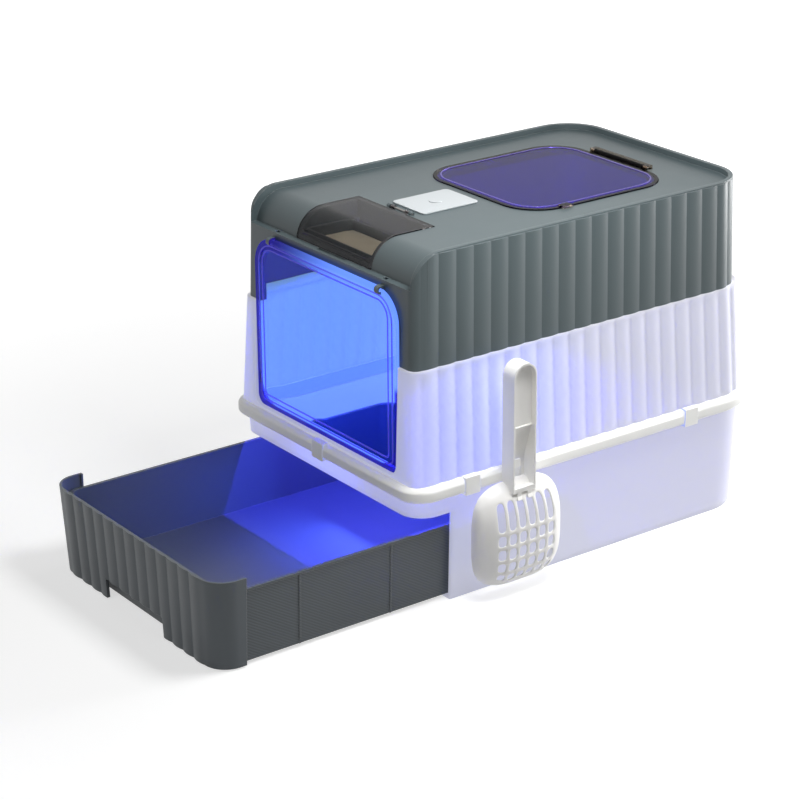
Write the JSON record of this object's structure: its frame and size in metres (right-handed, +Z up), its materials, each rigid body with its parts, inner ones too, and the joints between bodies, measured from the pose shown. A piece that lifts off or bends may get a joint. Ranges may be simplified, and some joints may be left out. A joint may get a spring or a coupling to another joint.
{
  "type": "drawer litter box",
  "caption": "Covered cat litter box with a pull-out litter drawer, clear hinged front door, top hatch, deodoriser visor, lamp module and a hanging scoop.",
  "frame": {"origin": "centre of the box's footprint on the floor, with the drawer left out of account", "axes": "+Z up, -Y towards the front with the door and drawer, +X the side on which the scoop hangs"},
  "size_m": [0.3936, 0.7664, 0.398],
  "materials": {
    "shell_white": "fine satin moulded plastic, pale lilac white",
    "band_cream": "satin moulded plastic, cream",
    "hood_grey": "matt moulded plastic, slate grey",
    "drawer_olive": "matt moulded plastic, dark grey green",
    "door_blue": "clear tinted acrylic, blue",
    "hatch_violet": "clear tinted acrylic, violet",
    "smoke_brown": "smoked acrylic, brown grey",
    "cover_white": "satin moulded plastic, white",
    "scoop_white": "satin moulded plastic, warm white",
    "steel": "drawn steel pins and plated screws",
    "charcoal": "activated carbon felt, black",
    "board_green": "coated circuit board, green",
    "switch_black": "moulded switch body, black",
    "cell_blue": "sleeved steel cell, blue",
    "magnet_grey": "plated magnet and iron keeper",
    "lens_clear": "clear lamp window"
  },
  "bodies": {
    "box": {"base_tub": "shell_white", "rim_band": "band_cream", "snap_clips": "band_cream", "mid_shell": "shell_white", "hood": "hood_grey", "hatch_hinge_bar": "smoke_brown", "hatch_pin": "steel", "hatch_frame": "hood_grey", "visor_pin": "steel", "deodoriser_rails": "hood_grey", "deodoriser_box": "hood_grey", "charcoal_pad": "charcoal", "lamp_cover": "cover_white", "tact_switch": "switch_black", "lamp_housing": "cover_white", "led_board": "board_green", "lamp_lens": "lens_clear", "battery_cell": "cell_blue", "housing_screws": "steel", "door_frame_top": "hood_grey", "door_frame_low": "shell_white", "door_keeper": "magnet_grey", "scoop_hook": "band_cream"},
    "drawer": {"drawer_tray": "drawer_olive", "drawer_front": "drawer_olive"},
    "front_door": {"front_door": "door_blue", "door_magnet": "magnet_grey"},
    "hatch": {"hatch_lid": "hatch_violet", "hatch_latch": "smoke_brown"},
    "visor": {"visor": "smoke_brown"},
    "button": {"push_button": "cover_white"},
    "scoop": {"scoop": "scoop_white"}
  },
  "joints": [
    {"name": "drawer_slide", "type": "slide", "parent": "box", "child": "drawer", "axis": [0, -1, 0], "range_m": [-0.255, 0.09]},
    {"name": "door_hinge", "type": "hinge", "parent": "box", "child": "front_door", "pos_m": [0, -0.24664, 0.35], "axis": [-1, 0, 0], "range_deg": [0, 100]},
    {"name": "hatch_hinge", "type": "hinge", "parent": "box", "child": "hatch", "pos_m": [0, 0.177, 0.3931], "axis": [-1, 0, 0], "range_deg": [0, 105]},
    {"name": "visor_hinge", "type": "hinge", "parent": "box", "child": "visor", "pos_m": [0, -0.142, 0.3921], "axis": [-1, 0, 0], "range_deg": [0, 95]},
    {"name": "button_press", "type": "slide", "parent": "box", "child": "button", "axis": [0, 0, -1], "range_m": [0, 0.0006], "stiffness_N_per_m": 1500},
    {"name": "scoop_lift", "type": "slide", "parent": "box", "child": "scoop", "axis": [0, 0, 1], "range_m": [0, 0.011]}
  ]
}
